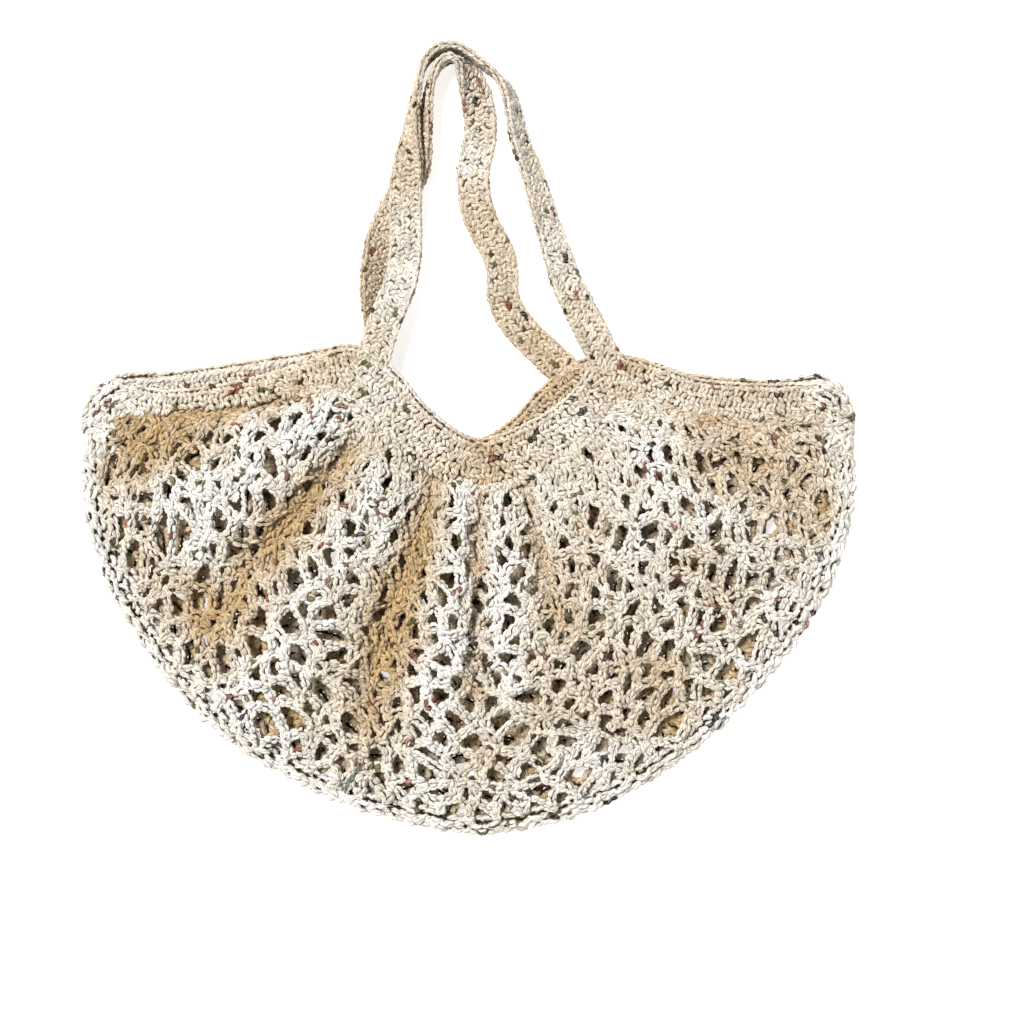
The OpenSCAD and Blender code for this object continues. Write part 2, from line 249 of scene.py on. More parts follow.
def crochet(name, yarn, material):
    """One mesh object of all the leaves and painted-shade sheets that a Yarn holds."""
    rows = yarn.leaves()
    n = len(rows)
    p0, pm, p2 = rows[:, 0:3], rows[:, 3:6], rows[:, 6:9]
    radius, shade = rows[:, 9], rows[:, 10]
    s = RINGS[None, :, None]
    mid = (1 - s) ** 2 * p0[:, None] + 2 * s * (1 - s) * pm[:, None] + s ** 2 * p2[:, None]
    tangent = unit(2 * (1 - s) * (pm - p0)[:, None] + 2 * s * (p2 - pm)[:, None])
    proud = unit(pm - (p0 + p2) / 2 + 1e-9)[:, None, :]
    u = unit(proud - tangent * np.sum(proud * tangent, -1, keepdims=True))
    v = np.cross(tangent, u)
    angle = np.arange(SIDES) * 2 * np.pi / SIDES
    r = (radius[:, None] * THICK[None])[:, :, None, None]
    ring = mid[:, :, None] + r * (np.cos(angle)[None, None, :, None] * u[:, :, None]
                                  + np.sin(angle)[None, None, :, None] * v[:, :, None])
    verts = np.concatenate([ring.reshape(n, -1, 3), p0[:, None], p2[:, None]], 1)
    per = verts.shape[1]
    sizes = np.array([len(f) for f in LEAF_FACES])
    flat = np.concatenate([np.array(f) for f in LEAF_FACES])
    loops = (flat[None] + (np.arange(n) * per)[:, None]).ravel()
    sizes = np.tile(sizes, n)
    corner = np.concatenate([np.array(f) for f in LEAF_UVS])
    uv = np.tile(corner[None], (n, 1, 1))
    uv[:, :, 0] += rng.random(n)[:, None]
    uv[:, :, 1] += 7 * rng.random(n)[:, None]
    uv = uv.reshape(-1, 2)
    # channels: fleck and random tone of the yarn itself, painted shade from valley to ridge, and painted gap
    # shade, 1 where lit
    flecks_and_shade = np.ones((n, per, 4))
    flecks_and_shade[:, :, 0] = fleck_ids(n)[:, None]
    flecks_and_shade[:, :, 1] = rng.random(n)[:, None]
    flecks_and_shade[:, :, 2] = np.clip(shade, 0, 1)[:, None]
    # painted shade: darker towards the leaf ends and on the leaves' undersides
    lit_share = RING_LIT[:, None] * np.clip(.62 + .55 * np.cos(angle), 0, 1)[None]
    flecks_and_shade[:, :-2, 3] = lit_share.ravel()[None]
    flecks_and_shade[:, -2:, 3] = TIP_LIT
    verts, flecks_and_shade = verts.reshape(-1, 3), flecks_and_shade.reshape(-1, 4)
    # the dark sheets take the full painted gap shade
    for cv, cq in yarn.shade_sheets:
        loops = np.concatenate([loops, (cq + len(verts)).ravel()])
        sizes = np.concatenate([sizes, np.full(len(cq), 4)])
        uv = np.vstack([uv, np.zeros((cq.size, 2))])
        flecks_and_shade = np.vstack([flecks_and_shade, np.tile([[.5, .5, .3, 0.]], (len(cv), 1))])
        verts = np.vstack([verts, cv])
    mesh = bpy.data.meshes.new(name)
    mesh.vertices.add(len(verts))
    mesh.vertices.foreach_set("co", verts.astype(np.float32).ravel())
    mesh.loops.add(len(loops))
    mesh.loops.foreach_set("vertex_index", loops.astype(np.int32))
    mesh.polygons.add(len(sizes))
    mesh.polygons.foreach_set("loop_start", np.concatenate([[0], np.cumsum(sizes)[:-1]]).astype(np.int32))
    mesh.update(calc_edges=True)
    mesh.polygons.foreach_set("use_smooth", np.ones(len(sizes), bool))
    layer = mesh.uv_layers.new(name="yarn")
    layer.data.foreach_set("uv", uv.astype(np.float32).ravel())
    colour = mesh.color_attributes.new("flecks_and_shade", "FLOAT_COLOR", "POINT")
    colour.data.foreach_set("color", flecks_and_shade.astype(np.float32).ravel())
    mesh.materials.append(material)
    obj = bpy.data.objects.new(name, mesh)
    bpy.context.scene.collection.objects.link(obj)
    return obj


def chain(yarn, origin, tangent, across, normal, pitch, half, radius, shade, loose=.16, third=False):
    """Chain stitches: at each origin a pair of leaves that spread, and dive into the next pair.

    loose is how much they vary, and third adds a leaf on top, which wanders.
    """
    n = len(origin)
    pitch = np.broadcast_to(np.asarray(pitch, float), (n,))[:, None]
    t, b, u = tangent * pitch, across * half, normal * radius
    for sign in (-1, 1):
        jit = rng.normal(0, loose, (n, 3, 1))
        start = origin - .20 * t + sign * (.10 + .3 * jit[:, 0]) * b - .70 * u
        bulge = origin + .50 * t + sign * (1.75 + jit[:, 1]) * b + (1.05 + jit[:, 2]) * u
        end = origin + 1.30 * t + sign * (.22 + .5 * jit[:, 0]) * b - .15 * u
        yarn.add(start, bulge, end, radius * (1 + rng.normal(0, .07, n)), shade)
    if third:
        lean = rng.normal(0, .55, (n, 3, 1))
        start = origin + .1 * t + lean[:, 0] * b + .1 * u
        bulge = origin + .65 * t + .5 * lean[:, 1] * b + 2.3 * u
        end = origin + 1.15 * t + lean[:, 2] * b + .1 * u
        yarn.add(start, bulge, end, radius * (1 + rng.normal(0, .07, n)), shade)


def turned(across, normal, angle):
    """The across and normal directions, turned about the path by an angle."""
    c, s = np.cos(angle)[:, None], np.sin(angle)[:, None]
    return c * across + s * normal, c * normal - s * across


def spaced(path, pitch, shift=0.):
    """Points a pitch apart along a path: fractional indices into it, and the true pitch."""
    run = np.concatenate([[0], np.cumsum(np.linalg.norm(np.diff(path, axis=0), axis=1))])
    count = max(2, int(round(run[-1] / pitch)))
    step = run[-1] / count
    at = (np.arange(count) + .5 + shift) * step
    at = at[(at > 0) & (at < run[-1])]
    return np.interp(at, run, np.arange(len(path))), step


def pick(values, index):
    """Values at fractional indices."""
    i = np.clip(index.astype(int), 0, len(values) - 2)
    f = index - i
    if values.ndim > 1:
        f = f[:, None]
    return values[i] * (1 - f) + values[i + 1] * f


def leaf_row(yarn, path, normal, lean, shade, shift=0., pitch=SC_PITCH, size=SC_LEAF, radius=SC_YARN,
             puff=1., angle=38, dip=.9):
    """A row of single crochet: leaves a pitch apart along a path, all leaning the same way.

    puff is how far they stand proud, angle how far they lean in degrees and dip how deep their ends go.
    """
    index, _ = spaced(path, pitch, shift)
    n = len(index)
    if not n:
        return
    at = pick(path, index)
    t = unit(pick(np.gradient(path, axis=0), index))
    u = pick(np.broadcast_to(normal, path.shape), index)
    u = unit(u - t * np.sum(u * t, -1, keepdims=True))
    b = np.cross(u, t)
    a = lean * np.where(rng.random(n) < .12, -1, 1) * np.radians(angle) + rng.normal(0, .22, n)
    d = np.cos(a)[:, None] * b + np.sin(a)[:, None] * t
    length = (size * (1 + rng.normal(0, .11, n)))[:, None]
    at = at + rng.normal(0, .35 * MM, (n, 1)) * b
    at = at + rng.normal(0, .35 * MM, (n, 1)) * t
    at = at + rng.normal(0, .3 * MM, (n, 1)) * u
    shade = pick(shade, index) if np.ndim(shade) else shade
    reach, sunk = .55 * length * d, dip * radius * u
    yarn.add(at - reach - sunk, at + puff * 1.3 * radius * u, at + reach - sunk,
             radius * (1 + rng.normal(0, .09, n)), shade)


def chain_row(yarn, path, normal, shade, pitch=CHAIN_PITCH, half=CHAIN_HALF, radius=YARN, wobble=.18):
    """A chain of stitches along a path, its Vs turned to the normal."""
    index, step = spaced(path, pitch)
    at = pick(path, index)
    t = unit(pick(np.gradient(path, axis=0), index))
    u = pick(np.broadcast_to(normal, path.shape), index)
    u = unit(u - t * np.sum(u * t, -1, keepdims=True))
    b = np.cross(t, u)
    b, u = turned(b, u, rng.normal(0, wobble, len(at)))
    shade = pick(shade, index) if np.ndim(shade) else shade
    chain(yarn, at - .5 * step * t, t, b, u, step, half, radius, shade)


def shade_strip(yarn, a, b):
    """A dark sheet of painted shade between two paths."""
    n = len(a)
    i = np.arange(n - 1)
    yarn.core(np.vstack([a, b]), np.stack([i, i + 1, n + i + 1, n + i], 1))


def shade_tube(yarn, path, radius):
    """A dark four-sided tube of painted shade inside a strand, seen between its leaves."""
    t = unit(np.gradient(path, axis=0))
    side = unit(np.cross(t, [0, 0, 1.]) + 1e-9)
    up = np.cross(side, t)
    n = len(path)
    ring = np.stack([path + radius * d for d in (side, up, -side, -up)], 1).reshape(-1, 3)
    i = np.arange(n - 1)[:, None] * 4
    k = np.arange(4)[None]
    quads = np.stack([i + k, i + (k + 1) % 4, i + 4 + (k + 1) % 4, i + 4 + k], -1).reshape(-1, 4)
    ends = np.array([[3, 2, 1, 0], [4 * n - 4, 4 * n - 3, 4 * n - 2, 4 * n - 1]])
    yarn.core(ring, np.vstack([quads, ends]))


# ---------------------------------------------------------------- the two mesh layers
foot_at = even_stations(band_foot, NECK_FROM, FAN_TO, CUTS)
rim_at = even_stations(fold_line, 0, STATIONS, CUTS)
fan = np.linspace(0, 1, CUTS)
edge_curve = beside(along(fold_line, rim_at), -1.0 * MM)
SIDE = .13                                # share of the fan that bends to follow a rim's foot


def rim_route(outer_end, lo, hi):
    """Route along the ends of the fan: from the edge, round the rim's foot, to where the neck starts."""
    route = np.vstack([outer_end[None], along(band_foot, np.linspace(lo, hi, 60))])
    run = np.concatenate([[0], np.cumsum(np.linalg.norm(np.diff(route, axis=0), axis=1))])
    w = np.linspace(0, 1, 61)
    even = np.column_stack([np.interp(w * run[-1], run, route[:, k]) for k in (0, 1)])
    return even - (outer_end + (route[-1] - outer_end) * w[:, None])


left_route = rim_route(edge_curve[0], 0, NECK_FROM)
right_route = rim_route(edge_curve[-1], STATIONS, FAN_TO)


def off_line(route, w):
    """How far such a route lies off the straight line between its ends."""
    return np.stack([np.interp(w, np.linspace(0, 1, 61), route[:, k]) for k in (0, 1)], -1)


def fan_point(c, w):
    """Flat point at the place c across the fan and the share w of the way from the edge to the band.

    Also the station there, and the length of the way.
    """
    sf, sq = np.interp(c, fan, foot_at), np.interp(c, fan, rim_at)
    foot = along(band_foot, sf)
    edge = np.stack([np.interp(c, fan, edge_curve[:, 0]), np.interp(c, fan, edge_curve[:, 1])], -1)
    p = edge + (foot - edge) * w[..., None]
    wc = np.clip(w, 0, 1)
    left = smooth(1 - c / SIDE)[..., None] * off_line(left_route, wc)
    right = smooth(1 - (1 - c) / SIDE)[..., None] * off_line(right_route, wc)
    return p + left + right, sq + (sf - sq) * wc, np.linalg.norm(foot - edge, axis=-1)


def fold_wave(c, w):
    """Height of the folds, from -1 in the deepest valley to 1 on the highest ridge."""
    total = np.zeros(np.broadcast(c, w).shape)
    for place, half, height, first, last in FOLDS:
        ends = smooth((w - first) / .16 + .5) * smooth((last - w) / .16 + .5)
        total = total + height * np.exp(-((c - place) / half) ** 2) * ends
    return total


grid = np.linspace(0, 1, 801)
fold_mid_wave = fold_wave(grid, np.full(len(grid), .6))
thick = 1 + .8 * np.clip(-fold_mid_wave, 0, 1) - .22 * np.clip(fold_mid_wave, 0, 1)
crowd = np.concatenate([[0], np.cumsum((thick[1:] + thick[:-1]) / 2)])
crowd /= crowd[-1]


def crowded(u, w):
    """Columns crowd together in the valleys, the more so towards the band."""
    return u + (np.interp(u, crowd, grid) - u) * smooth(w / .45) * .85


def front_surface(u, v):
    """Point of the front layer at the column place u and the distance v in from the edge."""
    _, _, length = fan_point(u, np.zeros(np.shape(u)))
    w = v / length
    wc = np.clip(w, 0, 1)
    c = crowded(u, wc)
    p, s, _ = fan_point(c, w)
    share = (.25 + .75 * smooth(wc / .5)) * (1 - .45 * smooth((wc - .88) / .12))
    wave = fold_wave(c, wc)
    fold = FOLD_HEIGHT * np.where(wave > 0, .75, 1.7) * wave
    z = front_top(s, wc) - FABRIC / 2 + fold * share * (.3 + .7 * lift(s))
    z = z + .8 * MM * np.sin(150 * c + 9 * wc) * smooth(wc / .3)
    return np.concatenate([p, np.maximum(z, FABRIC + 2.8 * MM)[..., None]], -1), wc, c


def rear_surface(u, v):
    """Point of the rear layer, which lies flat, at the same places."""
    _, _, length = fan_point(u, np.zeros(np.shape(u)))
    w = v / length
    p, s, _ = fan_point(u, w)
    wc = np.clip(w, 0, 1)
    z = 4.0 * MM + .7 * MM * (1 + np.sin(57 * u + 5 * w)) * smooth(wc * 3)
    return np.concatenate([p, z[..., None]], -1), wc, u


def net(slip, inset, wild):
    """Arches of the net as start and end places, and its knots, on columns and rows."""
    arches, knots = [], []
    i = np.arange(NET_COLUMNS + 1)
    rows = 1 + int(NET_DEPTH / ROW_PITCH)
    place = {}
    for k in range(rows):
        u = (i + .5 * (k % 2) + slip) / NET_COLUMNS
        real = (u <= 1.0001)
        u = np.clip(u, 0, 1)
        _, _, length = fan_point(u, np.zeros(len(u)))
        v = inset + ROW_PITCH * k + rng.normal(0, wild * 1.7 * MM, len(i))
        u = np.clip(u + rng.normal(0, wild * .0060, len(i)) * (k > 0) * ((u > .01) & (u < .99)), 0, 1)
        place[k] = (u, v, length, real)
        inside = real & (v < length - 1 * MM)
        knots.append(np.stack([u[inside], v[inside]], 1))
    for k in range(rows - 1):
        u0, v0, l0, ok0 = place[k]
        u1, v1, l1, ok1 = place[k + 1]
        for step in (0, 1) if k % 2 else (-1, 0):
            a = i[(i + step >= 0) & (i + step <= NET_COLUMNS)]
            b = a + step
            good = ok0[a] & ok1[b] & (v0[a] < l0[a] - 1 * MM)
            a, b = a[good], b[good]
            stop = np.minimum(v1[b], l1[b] + 4 * MM) - POST * .5
            arches.append(np.stack([u0[a], v0[a] + POST * .5, u1[b], stop], 1))
        if k % 2 == 0:
            far = v0 + 2 * ROW_PITCH
            for end in (0, NET_COLUMNS):
                side = end / NET_COLUMNS
                if v0[end] < l0[end]:
                    arches.append(np.array([[side, v0[end], side, min(far[end], l0[end])]]))
    return np.vstack(arches), np.vstack(knots)


def net_yarn(surface, arches, knots, lo, hi, shade_of, third=True, fat=1., arch=.55, wild=1.):
    """Chains along the arches between the places lo and hi of a net, and the stitches that tie its knots."""
    yarn = Yarn()
    middle = (arches[:, 0] + arches[:, 2]) / 2
    st = arches[(middle >= lo) & (middle < hi)]
    m = len(st)
    bow = rng.normal(0, wild * .0045, m)
    sag = rng.normal(0, wild * 1.1 * MM, m)
    tilt = rng.normal(0, wild * .55, m)
    f = np.linspace(0, 1, 13)
    over, up = 1 - np.cos(f * np.pi / 2), np.sin(f * np.pi / 2)
    bulge = 4 * f * (1 - f)
    u = st[:, :1] + (st[:, 2:3] - st[:, :1]) * (arch * over + (1 - arch) * f) + bow[:, None] * bulge
    v = st[:, 1:2] + (st[:, 3:4] - st[:, 1:2]) * (arch * up + (1 - arch) * f)
    p, w, c = surface(u, v)
    p[..., 2] += sag[:, None] * bulge
    shade = shade_of(c, w)
    for j in range(m):
        path = p[j]
        shade_tube(yarn, path[::3], .95 * MM)
        index, step = spaced(path, CHAIN_PITCH)
        at = pick(path, index)
        t = unit(pick(np.gradient(path, axis=0), index))
        n = unit(np.array([0, 0, 1.]) - t * t[:, 2:3])
        b = np.cross(t, n)
        b, n = turned(b, n, tilt[j] + rng.normal(0, .22, len(at)))
        chain(yarn, at - .5 * step * t, t, b, n, step, CHAIN_HALF * fat, YARN * fat, pick(shade[j], index),
              .2, third)
    kn = knots[(knots[:, 0] >= lo) & (knots[:, 0] < hi)]
    if len(kn):
        p, w, c = surface(kn[:, 0], kn[:, 1])
        q, _, _ = surface(kn[:, 0], kn[:, 1] + 2 * MM)
        t = unit(q - p)
        n = unit(np.array([0, 0, 1.]) - t * t[:, 2:3])
        b = np.cross(t, n)
        b, n = turned(b, n, rng.normal(0, .3, len(kn)))
        shade = shade_of(c, w)
        p = p + .5 * MM * n
        chain(yarn, p - .6 * POST * t, t, b, n, 1.1 * POST, CHAIN_HALF, YARN * 1.08, shade, .2)
        lean = rng.normal(0, .8 * MM, (len(kn), 1))
        yarn.add(p - 3.0 * MM * b + lean * t - 1.0 * MM * n, p - .2 * POST * t + 2.9 * MM * n,
                 p + 3.0 * MM * b - lean * t - 1.0 * MM * n, YARN * 1.05, shade)
        yarn.add(p - 2.6 * MM * b - (1.4 * MM + lean) * t - .8 * MM * n, p + .2 * POST * t - 3.2 * MM * n,
                 p + 2.6 * MM * b - (1.0 * MM - lean) * t - .8 * MM * n, YARN * 1.05, shade)
    return yarn


# ---------------------------------------------------------------- materials
def node(tree, kind, **sockets):
    """A new shader node with its sockets and settings."""
    n = tree.nodes.new(kind)
    for name, value in sockets.items():
        if name in n.inputs:
            n.inputs[name].default_value = value
        else:
            setattr(n, name, value)
    return n


# Flecks: from which random number on, and the colour.
FLECKS = [(.953, (.13, .13, .045)), (.966, (.020, .015, .011)), (.989, (.24, .18, .08)),
          (.995, (.34, .14, .10))]
FIRST_FLECK = (.25, .07, .04)
# Painted shade in the gaps between leaves, from the valley side to the ridge side: dark, and softer.
DARK_GAP_SHADE = ((.038, .016, .005), (.046, .024, .010))
SOFT_GAP_SHADE = ((.085, .050, .024), (.12, .085, .048))


def cotton(name, ridge, valley, gaps=DARK_GAP_SHADE):
    """Plied cotton yarn: cream with coloured flecks. Painted shade: lit ridge colour to warmer, darker valley
    colour, and dark painted shade in the gaps.
    """
    mat = bpy.data.materials.new(name)
    mat.use_nodes = True
    tree = mat.node_tree
    tree.nodes.clear()
    link = tree.links.new

    def scaled(source, low, high, start=0., stop=1.):
        n = node(tree, "ShaderNodeMapRange")
        for key, value in (("From Min", start), ("From Max", stop), ("To Min", low), ("To Max", high)):
            n.inputs[key].default_value = value
        link(source, n.inputs["Value"])
        return n.outputs[0]

    def math_of(operation, a, b):
        n = node(tree, "ShaderNodeMath", operation=operation)
        for k, v in enumerate((a, b)):
            if isinstance(v, (int, float)):
                n.inputs[k].default_value = v
            else:
                link(v, n.inputs[k])
        return n.outputs[0]

    def mixed(factor, a, b, kind="MIX"):
        n = node(tree, "ShaderNodeMix", data_type="RGBA", blend_type=kind)
        sockets = [k for k in n.inputs if k.enabled]
        for k, v in zip(sockets, (factor, a, b)):
            if isinstance(v, (int, float, tuple)):
                k.default_value = v
            else:
                link(v, k)
        return [k for k in n.outputs if k.enabled][0]

    out = node(tree, "ShaderNodeOutputMaterial")
    shader = node(tree, "ShaderNodeBsdfPrincipled")
    shader.inputs["Specular IOR Level"].default_value = .04
    link(shader.outputs[0], out.inputs[0])
    flecks_and_shade = node(tree, "ShaderNodeVertexColor", layer_name="flecks_and_shade")
    split = node(tree, "ShaderNodeSeparateColor")
    link(flecks_and_shade.outputs["Color"], split.inputs[0])
    fleck_id, chance, shade = split.outputs["Red"], split.outputs["Green"], split.outputs["Blue"]
    lit_share = flecks_and_shade.outputs["Alpha"]
    # yarn coordinates: fibres run along the leaf, and three plies wind round it
    uv = node(tree, "ShaderNodeUVMap", uv_map="yarn")
    wind = node(tree, "ShaderNodeMapping")
    wind.inputs["Scale"].default_value = (1, .42, 1)
    link(uv.outputs[0], wind.inputs["Vector"])
    ply = node(tree, "ShaderNodeTexWave", wave_type="BANDS", bands_direction="DIAGONAL", wave_profile="SIN",
               Scale=1.885, Distortion=1.2)
    ply.inputs["Detail"].default_value = 2
    ply.inputs["Detail Scale"].default_value = 3
    link(wind.outputs[0], ply.inputs["Vector"])
    along_yarn = node(tree, "ShaderNodeMapping")
    along_yarn.inputs["Scale"].default_value = (11, 2.2, 1)
    link(uv.outputs[0], along_yarn.inputs["Vector"])
    fibre = node(tree, "ShaderNodeTexNoise", Scale=1.6, Detail=3.0)
    link(along_yarn.outputs[0], fibre.inputs["Vector"])
    place = node(tree, "ShaderNodeTexCoord")
    blotch = node(tree, "ShaderNodeTexNoise", Scale=26.0, Detail=2.0)
    link(place.outputs["Object"], blotch.inputs["Vector"])
    # painted shade: from the warmer, darker valley colour to the lit ridge colour, with random blotches
    drift = math_of("ADD", shade, scaled(blotch.outputs["Fac"], -.22, .22, .3, .7))
    base = mixed(math_of("MINIMUM", math_of("MAXIMUM", drift, 0.), 1.), (*valley, 1), (*ridge, 1))
    # flecks
    ramp = node(tree, "ShaderNodeValToRGB")
    ramp.color_ramp.interpolation = "CONSTANT"
    stops = ramp.color_ramp.elements
    stops[0].position, stops[0].color = 0, (1, 1, 1, 1)
    stops[1].position, stops[1].color = FLECKS_FROM, (*FIRST_FLECK, 1)
    for where, rgb in FLECKS:
        stops.new(where).color = (*rgb, 1)
    link(fleck_id, ramp.inputs[0])
    is_fleck = math_of("GREATER_THAN", fleck_id, FLECKS_FROM)
    part = math_of("MULTIPLY", is_fleck, scaled(fibre.outputs["Fac"], .5, 1., .36, .5))
    coloured = mixed(part, base, ramp.outputs[0])
    # random light and dark leaf by leaf and fibre by fibre, and painted shade in the groove between plies
    light = math_of("MULTIPLY", scaled(chance, .74, 1.08), scaled(fibre.outputs["Fac"], .66, 1.12, .25, .75))
    light = math_of("MULTIPLY", light, scaled(ply.outputs["Fac"], .62, 1.04, 0., .4))
    grey = node(tree, "ShaderNodeCombineColor")
    for k in range(3):
        link(light, grey.inputs[k])
    toned_and_ply_shaded = mixed(1., coloured, grey.outputs[0], "MULTIPLY")
    # painted shade in the gaps: leaf ends, undersides and the dark sheets take the gap colour
    gap_shade = mixed(shade, (*gaps[0], 1), (*gaps[1], 1))
    final = mixed(scaled(lit_share, 0., 1., .10, .55), gap_shade, toned_and_ply_shaded)
    link(final, shader.inputs["Base Color"])
    link(scaled(fibre.outputs["Fac"], .95, .78), shader.inputs["Roughness"])
    bump = node(tree, "ShaderNodeBump")
    bump.inputs["Strength"].default_value = .8
    bump.inputs["Distance"].default_value = .0006
    relief = math_of("ADD", math_of("MULTIPLY", ply.outputs["Fac"], .6), fibre.outputs["Fac"])
    link(relief, bump.inputs["Height"])
    link(bump.outputs[0], shader.inputs["Normal"])
    return mat


# each with the lit ridge colour and the warmer, darker valley colour of painted shade
mesh_cotton = cotton("mesh_cotton", (.95, .92, .86), (.61, .44, .24))
band_cotton = cotton("band_cotton", (.94, .90, .83), (.65, .50, .32))
edging_cotton = cotton("edging_cotton", (.94, .90, .83), (.68, .52, .32), SOFT_GAP_SHADE)
strap_cotton = cotton("strap_cotton", (.90, .85, .77), (.66, .51, .33), SOFT_GAP_SHADE)
tail_yarn = cotton("tail_yarn", (.32, .38, .29), (.24, .29, .21))
MATERIAL = {"mesh_cotton": mesh_cotton, "band_cotton": band_cotton, "edging_cotton": edging_cotton,
            "strap_cotton": strap_cotton, "tail_yarn": tail_yarn}


def piece(name, yarn, slot, body=None, blend=None, stands_for=()):
    """Makes the mesh of a Yarn and parents it to its body, or with a blend only bakes its place into the mesh;
    hides the CAD nodes it stands for.
    """
    obj = crochet(name, yarn, MATERIAL[slot])
    if blend:
        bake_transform(obj)
    else:
        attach(obj, body)
    if stands_for:
        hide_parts(*stands_for)
    return obj


def front_shade(c, w):
    """Painted shade of the front mesh, from 0, the valley colour, to 1, the ridge colour: it follows the folds,
    with patches, and is lighter near the edge.
    """
    patches = .12 * np.sin(41 * c + 13 * w) * np.sin(23 * w + 17 * c)
    return .57 + .56 * fold_wave(c, w) + patches + .22 * (1 - smooth(w / .25))


def rear_shade(c, w):
    """Painted shade of the rear mesh, which lies in the shadow of the front layer."""
    return .22 + .12 * np.sin(50 * c + 17 * w)


front_arches, front_knots = net(0, 7.5 * MM, 1.)
rear_arches, rear_knots = net(.27, 10 * MM, 1.)


def affine_share(points, share):
    """Start and end of a bend: between these two points share rises from 0 to 1, as nearly as a plane can."""
    m = np.column_stack([points, np.ones(len(points))])
    g = np.linalg.lstsq(m, share, rcond=None)[0]
    grad = np.array([g[0], g[1], 0.])
    centre = np.append(points.mean(0), FABRIC)
    at = g[0] * centre[0] + g[1] * centre[1] + g[2]
    start = centre - at * grad / grad.dot(grad)
    return tuple(start), tuple(start + grad / grad.dot(grad))


def sector_span(k, count):
    """Places across the net between which sector k of count lies. The outer two reach past its ends."""
    return (k / count if k else -1), ((k + 1) / count if k < count - 1 else 2)


bends, crests = [], []
for k in range(SECTORS):
    lo, hi = sector_span(k, SECTORS)
    yarn = net_yarn(front_surface, front_arches, front_knots, lo, hi, front_shade)
    cc = np.linspace(max(lo, 0), min(hi, 1), 9)
    cg, wg = [a.ravel() for a in np.meshgrid(cc, np.linspace(.03, 1, 15))]
    flat, _, _ = fan_point(cg, wg)
    start, end = affine_share(flat, wg)
    bends.append((flat, start, end))
    leaves = yarn.leaves()
    crest = .25 * leaves[:, 0:3] + .5 * leaves[:, 3:6] + .25 * leaves[:, 6:9]
    crest[:, 2] += leaves[:, 9]
    crests.append(crest)
    piece(f"front_mesh_{k + 1:02d}", yarn, "mesh_cotton", blend=("root", "front_panel", start, end),
          stands_for=("front_mesh_panel",) if k == 0 else ())
for k in range(REAR_SECTORS):
    lo, hi = sector_span(k, REAR_SECTORS)
    yarn = net_yarn(rear_surface, rear_arches, rear_knots, lo, hi, rear_shade, False, 1.45, wild=.45)
    piece(f"rear_mesh_{k + 1:02d}", yarn, "mesh_cotton", "root",
          stands_for=("rear_mesh_panel",) if k == 0 else ())


# ---------------------------------------------------------------- bands, rims and edging of the mouth
def band_point(mouth, s, d):
    """Flat point of a band at the station s, the distance d below the mouth's edge, and the band's width."""
    edge = along(mouth, s)
    foot = along(band_foot, s)
    width = np.linalg.norm(foot - edge, axis=-1)
    return edge + (foot - edge) * (d / width)[..., None], width


EDGE_STEP = 3.9 * MM                      # the chain edging takes this much of the band's width
EDGE_TILT = .35                           # how far its stitches turn outwards
# Painted shade of the front and rear bands by station along the mouth; the rear band is mostly in shade.
front_band_shade = [(0, .95), (.6, .9), (1, .6), (2, .35), (3, .35), (4, .5), (5, .75), (6, .8), (6.7, .5),
              (7.2, .1), (7.7, .4), (8.4, .7), (9.2, .55), (10, .35), (11, .4), (12, .55), (13, .5),
              (14, .6)]
rear_band_shade = [(0, .8), (2, .55), (3.5, .25), (5, .3), (7, .1), (8, .12), (9, .1), (10, .2), (12, .4),
             (14, .6)]


def band(name, mouth, height, painted_shades, lo, hi, plump=False, **where):
    """Rows of single crochet from the edging down to the mesh, on both faces of a dark sheet of painted shade.

    plump adds a row of big upright stitches at the top.
    """
    yarn = Yarn()
    shade_s, shade_v = np.array(painted_shades).T
    s = np.linspace(lo, hi, int((hi - lo) * 40) + 2)
    count = 0
    if plump:
        p, _ = band_point(mouth, s, np.full(len(s), 5.2 * MM))
        path = np.column_stack([p, height(s) + 1.2 * MM])
        # less painted shade on the big upright stitches
        leaf_row(yarn, path, np.array([0, 0, 1.]), 1, np.interp(s, shade_s, shade_v) + .15,
                 pitch=4.6 * MM, size=7.6 * MM, radius=2.0 * MM, angle=68, dip=.6)
    while True:
        d = EDGE_STEP + SC_ROW * (count + .1)
        p, width = band_point(mouth, s, np.full(len(s), d))
        inside = d < width + .5 * SC_ROW
        if not inside.any():
            break
        for first, last in runs(inside):
            path = np.column_stack([p[first:last], height(s[first:last])])
            if len(path) > 4:
                path[:, 2] += .35 * MM * np.sin(61 * s[first:last] + count)
                shade = np.interp(s[first:last], shade_s, shade_v) + rng.normal(0, .06)
                # the lower face gets more painted shade
                for up in (1, -1):
                    leaf_row(yarn, path + [0, 0, up * 1.05 * MM], np.array([0, 0, up * 1.]),
                             (1 if count % 2 else -1), shade if up > 0 else shade - .3, .5 * (count % 2))
        count += 1
    top, _ = band_point(mouth, s, np.full(len(s), EDGE_STEP * .6))
    _, width = band_point(mouth, s, np.full(len(s), 0.))
    low, _ = band_point(mouth, s, width)
    z = height(s)
    a, b = np.column_stack([top, z]), np.column_stack([low, z])
    # dark sheets of painted shade between the two faces
    shade_strip(yarn, a + [0, 0, .35 * MM], b + [0, 0, .35 * MM])
    shade_strip(yarn, b - [0, 0, .35 * MM], a - [0, 0, .35 * MM])
    return piece(name, yarn, "band_cotton", **where)


def runs(flags):
    """First and past-last index of each run of true flags."""
    edges = np.flatnonzero(np.diff(np.concatenate([[0], flags.astype(int), [0]])))
    return zip(edges[::2], edges[1::2])


def front_height(s):
    """Middle of the front band's thickness at the station s."""
    return front_top(s, np.ones(np.shape(s))) - FABRIC / 2


def rear_height(s):
    """Middle of the rear band's thickness."""
    return np.full(np.shape(s), FABRIC / 2 + .1 * MM)


